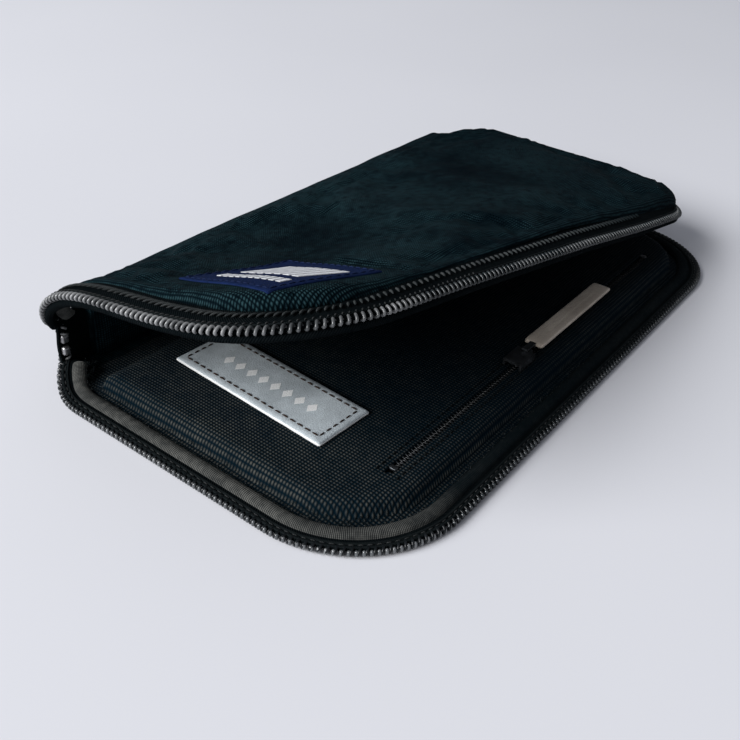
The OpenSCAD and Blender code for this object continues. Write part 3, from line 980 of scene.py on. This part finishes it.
def coil_tails():
    """The coils' ends, which turn into the spine and run to their stops."""
    for end, side, stop_y, stop_zs in (("near", -1, 53.6, (7.6, 13.4)), ("far", 1, 55.6, (7.0, 11.6))):
        halves = (("base", base_edge, LOW_Z - 0.05, 1), ("lid", lid_edge, HIGH_Z + 0.25, -1))
        for (half, edge, z, away), stop_z in zip(halves, stop_zs):
            plan, n = edge.at(np.array([0.0 if side < 0 else edge.length]), COIL_INSET)
            start = np.array([*plan[0], z])
            stop = np.array([side * TAIL_X, stop_y, stop_z])
            line = smooth_path([start, start + [side * -0.2, 0.6, away * 0.9],
                                [stop[0], stop_y + 0.3, (z + stop_z) / 2], stop], 40)
            across = np.tile([*-n[0], 0.0], (len(line), 1))
            up = unit(np.cross(across, np.gradient(line, axis=0)) * side * away)
            tail = coil(f"{end}_{half}_coil_tail", line, across, up, 1.3, 0.8, WIRE, COIL)
            ride(tail, "spine", "zip_coil")


def closed_chain():
    """The short closed run of the zip from its bottom stop to the slider."""
    plan = smooth_path([(96.4, 56.3), (99.6, 52.6), (101.4, 48.0)], 40)
    outward = -unit(np.column_stack([np.gradient(plan[:, 1]), -np.gradient(plan[:, 0]), np.zeros(len(plan))]))
    for name, z, rise in (("lower", 7.75, 1.0), ("upper", 9.25, -1.0)):
        line = at_height(plan, z) + outward * 0.6
        across = np.tile([0.0, 0.0, rise], (len(plan), 1))
        row = coil(f"closed_chain_{name}", line, across, outward, 0.95, 0.5, 0.34, COIL)
        ride(row, "spine", "zip_coil")


# ---- Laps, stitching and frays


def lap_stitching():
    """A row of topstitching along each lap, close to the fold lines."""
    xs = np.arange(-80, 80, 3.1)
    for half, fold_z, sign in (("base", LOW_Z + 0.4, -1), ("lid", HIGH_Z, 1)):
        start = np.array([[x, FOLD_Y - 2.0, fold_z + sign * LAP_OUT] for x in xs])
        shape = lift if half == "lid" else as_is
        row = tubes(f"{half}_lap_stitching", start, start + [2.3, 0, 0], (0, 0, sign), 0.2, 0.08,
                    BLACK_THREAD, shape)
        if half == "lid":
            ride_lid(row, "brown_thread")
        else:
            ride(row, "base", "brown_thread")


def frays(name, inset0, inset1, z, count, length, material):
    """Loose fibres that lie along the base's edge."""
    along = np.array([random.uniform(1, base_edge.length - 1) for _ in range(count)])
    inset = np.array([random.uniform(inset0, inset1) for _ in range(count)])
    reach = unit(np.array([[random.gauss(0, 1), random.gauss(0, 1), abs(random.gauss(0, 0.55))]
                           for _ in range(count)]))
    size = np.array([[random.uniform(0.5, 1) * length] for _ in range(count)])
    start = at_height(base_edge.at(along, inset)[0], z)
    return tubes(name, start, start + reach * size, (0.1, 0.2, 1), 0.055, 0.25, material, settle,
                 sides=3, rings=4)


def groove_frays():
    """Dark fibres in the groove round the panel, whose black also paints shade into the groove, and pale ones
    on the binding.
    """
    # Partly painted shade: these are frayed threads, but they are many and black so that they darken the
    # groove where it lies in shadow.
    fibres_and_shade = frays("base_groove_fibres_and_shade", 7.4, 10.6, 2.3, 1500, 1.5, BLACK_THREAD)
    ride(fibres_and_shade, "base", "inner_canvas")
    pale = frays("base_binding_fibres", 7.4, 8.3, 2.6, 420, 1.0, GREY_THREAD)
    ride(pale, "base", "binding")


# ---- Labels


class Patch:
    """A rectangle laid on a surface, with its own millimetre coordinates and a turn in plan."""

    def __init__(self, centre, turn, surface, shape=as_is):
        self.centre = np.array(centre, float)
        self.u = np.array([math.cos(turn), math.sin(turn)])
        self.v = np.array([-math.sin(turn), math.cos(turn)])
        self.surface = surface
        self.shape = shape

    def raised(self, points, height):
        """Points of the patch at a height over the surface, before the shape is applied."""
        points = np.asarray(points, float)
        p = self.centre + points[..., :1] * self.u + points[..., 1:] * self.v
        return np.concatenate([p, (self.surface(p[..., 0], p[..., 1]) + height)[..., None]], -1)

    def slab(self, name, half_u, half_v, low, high, material, corner=0.6, lip=0.3, waver=0.0):
        """A closed slab with rounded corners and edges."""
        outline = []
        corners = ((half_u, half_v), (-half_u, half_v), (-half_u, -half_v), (half_u, -half_v))
        for quarter, (cx, cy) in enumerate(corners):
            for a in np.radians(np.linspace(quarter * 90, quarter * 90 + 90, 5)):
                outline.append((cx - math.copysign(corner, cx) + corner * math.cos(a),
                                cy - math.copysign(corner, cy) + corner * math.sin(a)))
        outline = self.even(np.array(outline))
        waves = np.array([waver * noise.noise(Vector((u * 0.35, v * 0.35, 3.3))) for u, v in outline])
        outline = outline * (1 + waves / half_u)[:, None]
        scale = list(np.linspace(0.02, 1, max(6, int(half_v / 1.2)))[:-1]) + [1 - lip / half_v / 2]
        levels = [(s, low) for s in scale] + [(1, low + (high - low) * share) for share in (0.3, 0.7)]
        levels += [(s, high) for s in reversed(scale)]
        rings = np.array([self.raised(outline * s, height) for s, height in levels])
        flat = np.array([outline * s for s, _ in levels])
        return swept(name, self.shape(rings), flat, material)

    @staticmethod
    def even(outline, step=1.0):
        """The closed outline with points no farther apart than step."""
        out = []
        for a, b in zip(outline, np.roll(outline, -1, axis=0)):
            count = max(1, int(np.linalg.norm(b - a) / step))
            out += [a + (b - a) * k / count for k in range(count)]
        return np.array(out)

    def stitches(self, name, half_u, half_v, height, pitch, length, radius, material):
        """A running stitch round a rectangle."""
        corners = np.array([(-half_u, -half_v), (half_u, -half_v), (half_u, half_v), (-half_u, half_v)])
        rows = [[], []]
        for c0, c1 in zip(corners, np.roll(corners, -1, axis=0)):
            count = round(np.linalg.norm(c1 - c0) / pitch)
            for k in range(count):
                for row, end in zip(rows, (-0.5, 0.5)):
                    row.append(c0 + (c1 - c0) * (k + 0.5 + end * length / pitch) / count)
        a, b = (self.raised(row, height) for row in rows)
        return tubes(name, a, b, (0, 0, 1), radius, radius * 0.5, material, self.shape)

    def shapes(self, name, quads, low, high, material, steps=5):
        """Raised four-cornered patches, each given by its corners in the patch's own coordinates."""
        verts, faces, uvs = [], [], []
        last = steps - 1
        loop = ([(0, k) for k in range(last)] + [(k, last) for k in range(last)]
                + [(last, k) for k in range(last, 0, -1)] + [(k, 0) for k in range(last, 0, -1)])
        loop = [i * steps + j for i, j in loop]
        s = np.linspace(0, 1, steps)
        for c in np.array(quads, float):
            a = c[0] + (c[1] - c[0]) * s[:, None]
            b = c[3] + (c[2] - c[3]) * s[:, None]
            plan = a[:, None] + (b - a)[:, None] * s[None, :, None]
            lower = len(verts)
            upper = lower + steps * steps
            for height in (low, high):
                verts += list(self.raised(plan, height).reshape(-1, 3))
                uvs += list(plan.reshape(-1, 2))
            faces += [tuple(reversed(f)) for f in grid_faces(steps, steps, offset=lower)]
            faces += grid_faces(steps, steps, offset=upper)
            faces += [(lower + i, lower + j, upper + j, upper + i) for i, j in zip(loop, loop[1:] + loop[:1])]
        return piece(name, self.shape(np.array(verts)), faces, np.array(uvs), material, crease=40)


def maker_label():
    """The leather label on the base's inner panel, with a plain row of lozenges."""
    low, high = box_mm("maker_label")
    half_u, half_v = LABEL_HALF
    patch = Patch((low[:2] + high[:2]) / 2, LABEL_TURN, lambda x, y: np.full(np.shape(x), low[2]))
    slab = patch.slab("maker_label_leather", half_u, half_v, 0.0, 1.05, GREY_LEATHER, 0.5, 0.5, waver=0.15)
    ride(slab, "base", "grey_leather", "maker_label")
    rim = patch.slab("maker_label_cut_edge", half_u + 0.12, half_v + 0.12, -0.02, 0.82, PALE_EDGE, 0.5, 0.3,
                     waver=0.15)
    ride(rim, "base", "grey_leather")
    row = patch.stitches("maker_label_thread", half_u - 2, half_v - 2, 1.08, 2.6, 2.0, 0.22, BROWN_THREAD)
    ride(row, "base", "brown_thread", "maker_label_stitching")
    lozenges = [[(u - 1.5, 0), (u, -2.1), (u + 1.5, 0), (u, 2.1)] for u in np.arange(-15.4, 15.5, 4.4)]
    marks = patch.shapes("maker_label_lozenges", lozenges, 0.9, 1.1, PALE_EDGE, 4)
    ride(marks, "base", "grey_leather")


def woven_label():
    """The woven label on the lid, with a plain motif of slanted bars over a row of squares."""
    half_u, half_v = WOVEN_HALF
    patch = Patch(WOVEN_CENTRE, WOVEN_TURN, lid_height, lift)
    slab = patch.slab("woven_label_cloth", half_u, half_v, -0.2, 0.45, NAVY, 0.4, 0.3)
    ride_lid(slab, "woven_label", "woven_label")
    declare_sheet(slab)
    row = patch.stitches("woven_label_thread", half_u - 1.2, half_v - 1.2, 0.55, 2.4, 1.9, 0.16, NAVY_THREAD)
    ride_lid(row, "navy_thread", "woven_label_stitching")
    bars = [[(u, -9.5), (u + 2.4, -9.5), (u + 5.2, 3.0), (u + 2.8, 3.0)] for u in np.arange(-14.0, 9.0, 3.4)]
    squares = [[(u, 6.5), (u + 1.8, 6.5), (u + 1.8, 9.6), (u, 9.6)] for u in np.arange(-13.5, 12.5, 2.6)]
    motif = patch.shapes("woven_label_motif", bars + squares, 0.35, 0.62, WHITE_THREAD)
    ride_lid(motif, "woven_label")


# ---- Inner pocket


def pocket():
    """The pocket's zip under the slit in the panel, and the stitching along both sides of it."""
    low, high = box_mm("inner_zip_tape")
    middle = (low[1] + high[1]) / 2
    xs = np.linspace(low[0] - 0.8, high[0] + 0.8, 90)
    line = np.column_stack([np.linspace(-72, 72, 300), np.full(300, middle), np.full(300, low[2] + 0.05)])
    up = np.tile([0, 0, 1.0], (300, 1))
    sides = (("front", -1, ["inner_zip_tape"], ["inner_zip_coil"]), ("back", 1, [], []))
    for name, side, nodes, _ in sides:
        x, y = np.meshgrid(xs, middle + side * np.linspace(0.15, 3.6, 7))
        z = low[2] - 0.5 + 0.3 * np.exp(-((np.abs(y - middle) - 0.4) / 0.8) ** 2)
        p = np.stack([x, y, z], -1)
        cloth = shell(f"pocket_tape_{name}", p, p[..., :2].copy(), 0.45, TAPE)
        ride(cloth, "base", "zip_tape", *nodes)
    for name, side, _, nodes in sides:
        across = np.tile([0, -side, 0.0], (300, 1))
        row = coil(f"pocket_coil_{name}", line + [0.35 * side, side * 0.42, 0], across, up, 0.8, 0.42, 0.26,
                   BLACK_NYLON, pitch=1.25)
        ride(row, "base", "zip_coil", *nodes)
    for name, y in (("front", low[1] - 1.3), ("back", high[1] + 1.3)):
        start = np.array([[x, y, PANEL_TOP + 0.02] for x in np.arange(-77, 76, 2.3)])
        row = tubes(f"pocket_stitching_{name}", start, start + [1.7, 0, 0], (0, 0, 1), 0.19, 0.08,
                    BLACK_THREAD)
        ride(row, "base", "brown_thread")


def pull_strip():
    """The pocket's leather pull, with a crease along it."""
    low, high = box_mm("inner_pull_strip")
    centre = (low + high) / 2
    half = (high - low) / 2
    surface = lambda x, y: low[2] + 0.15 - 0.22 * np.exp(-((y - centre[1] + 0.5) / 0.28) ** 2)
    patch = Patch(centre[:2], 0.0, surface)
    slab = patch.slab("pull_strip_leather", half[0], half[1] + 0.5, 0.0, 1.3, TAN_LEATHER, 0.8, 0.35,
                      waver=0.1)
    ride(slab, "pocket_pull", "tan_leather", "inner_pull_strip")


def cad_finish(name, bevel):
    """A CAD node that keeps its shape gets rounded edges and a metal material."""
    obj = frame["nodes"][name]
    if not obj.material_slots:
        obj.data.materials.append(DARK_METAL)
    for place in obj.material_slots:
        place.material = DARK_METAL
    mod = obj.modifiers.new("soft_edges", "BEVEL")
    mod.width = bevel * MM
    mod.segments = 3
    mod.limit_method = "ANGLE"
    mod.angle_limit = math.radians(35)


def stops(name, centres, half, nodes, body="spine", material=BRIGHT_METAL):
    """Crimped metal stops: rounded blocks with a groove where they were pressed."""
    rows, sides = 15, 24
    a = np.linspace(-math.pi / 2, math.pi / 2, rows + 2)[1:-1]
    a, b = np.meshgrid(a, np.arange(sides) * TAU / sides, indexing="ij")
    squared = lambda w: np.sign(w) * np.abs(w) ** 0.55
    block = np.stack([squared(np.cos(a)) * squared(np.cos(b)), squared(np.cos(a)) * squared(np.sin(b)),
                      squared(np.sin(a))], -1)
    block[..., :2] *= (1 - 0.1 * np.exp(-(block[..., 2:] / 0.22) ** 2))
    verts, faces, uvs = [], [], []
    for centre in centres:
        base = len(verts)
        verts += list((np.array(centre) + block * half).reshape(-1, 3))
        uvs += list(np.stack([b, a], -1).reshape(-1, 2))
        faces += grid_faces(rows, sides, wrap=True, offset=base)
        faces += [tuple(reversed(range(base, base + sides))), tuple(range(len(verts) - sides, len(verts)))]
    obj = piece(name, np.array(verts), faces, np.array(uvs), material)
    ride(obj, body, "stop_metal", *nodes)


def hardware():
    low, high = box_mm("zip_top_stops")
    x, y = (low[:2] + high[:2]) / 2
    ends = [(x, y, low[2] + 1.4), (x, y, high[2] - 1.4)]
    stops("near_zip_stops", ends, (1.15, 1.4, 1.35), ["zip_top_stops"])
    low, high = box_mm("zip_bottom_stop")
    stops("far_zip_stop", [(low + high) / 2], (high - low) / 2, ["zip_bottom_stop"])
    low, high = box_mm("inner_zip_stops")
    y = (low[1] + high[1]) / 2
    ends = [(x, y, low[2] - 0.25) for x in (low[0] + 0.8, high[0] - 0.8)]
    stops("pocket_zip_stops", ends, (0.8, 1.1, 0.4), ["inner_zip_stops"], "base", DARK_METAL)
    cad_finish("slider_body", 0.35)
    cad_finish("slider_pull", 0.2)
    cad_finish("inner_slider_body", 0.3)
    cad_finish("inner_pull_ring", 0.2)


base_cover()
base_panel()
base_zip()
groove_frays()
lid_cover()
lid_lining()
lid_zip()
spine_roll()
end_gussets()
coil_tails()
closed_chain()
lap_stitching()
maker_label()
woven_label()
pocket()
pull_strip()
hardware()

# ---- Stage, light and camera


def area_light(name, place, target, size, energy, colour):
    data = bpy.data.lights.new(name, "AREA")
    data.shape = "RECTANGLE"
    data.size, data.size_y = size
    data.energy = energy
    data.color = colour
    obj = bpy.data.objects.new(name, data)
    obj.location = place
    obj.rotation_euler = (Vector(target) - Vector(place)).to_track_quat("-Z", "Y").to_euler()
    bpy.context.scene.collection.objects.link(obj)


def studio():
    """A pale paper floor, grey surroundings, a window behind the pouch's near back corner and a fill."""
    corners = 4e3 * np.array([[-1, -1, 0], [1, -1, 0], [1, 1, 0], [-1, 1, 0]])
    floor = piece("floor", corners, [(0, 1, 2, 3)], np.zeros((4, 2)), floor_material())
    world = bpy.data.worlds.new("studio")
    bpy.context.scene.world = world
    world.use_nodes = True
    background = world.node_tree.nodes["Background"]
    background.inputs["Color"].default_value = (0.66, 0.68, 0.74, 1)
    background.inputs["Strength"].default_value = SURROUNDINGS
    area_light("window", (-2.2, 1.35, 1.6), (0, 0, 0), (2.0, 1.6), WINDOW_WATTS, (0.99, 0.99, 1.0))
    area_light("fill", (-2.1, 0.25, 1.05), (-0.05, 0, 0.02), (0.8, 0.6), FILL_WATTS, (1.0, 0.98, 0.96))


def floor_material():
    t = Tree("floor_paper", roughness=0.9, specular=0.1)
    t.colour(t.spread(t.noise(3, 2), 0.3, 0.7), (0.66, 0.67, 0.71), (0.70, 0.71, 0.75))
    return t.material


def camera():
    """Looks down along the near diagonal."""
    data = bpy.data.cameras.new("camera")
    data.lens = LENS
    data.sensor_width = 36
    data.clip_start = 0.01
    obj = bpy.data.objects.new("camera", data)
    heading = Matrix.Rotation(HEADING - math.pi / 2, 4, "Z")
    dip = Matrix.Rotation(math.pi / 2 - DIP, 4, "X")
    obj.matrix_world = Matrix.Translation(CAMERA_PLACE) @ heading @ dip @ Matrix.Rotation(ROLL, 4, "Z")
    bpy.context.scene.collection.objects.link(obj)
    bpy.context.scene.camera = obj


studio()
camera()
bpy.context.scene.view_settings.view_transform = "Standard"
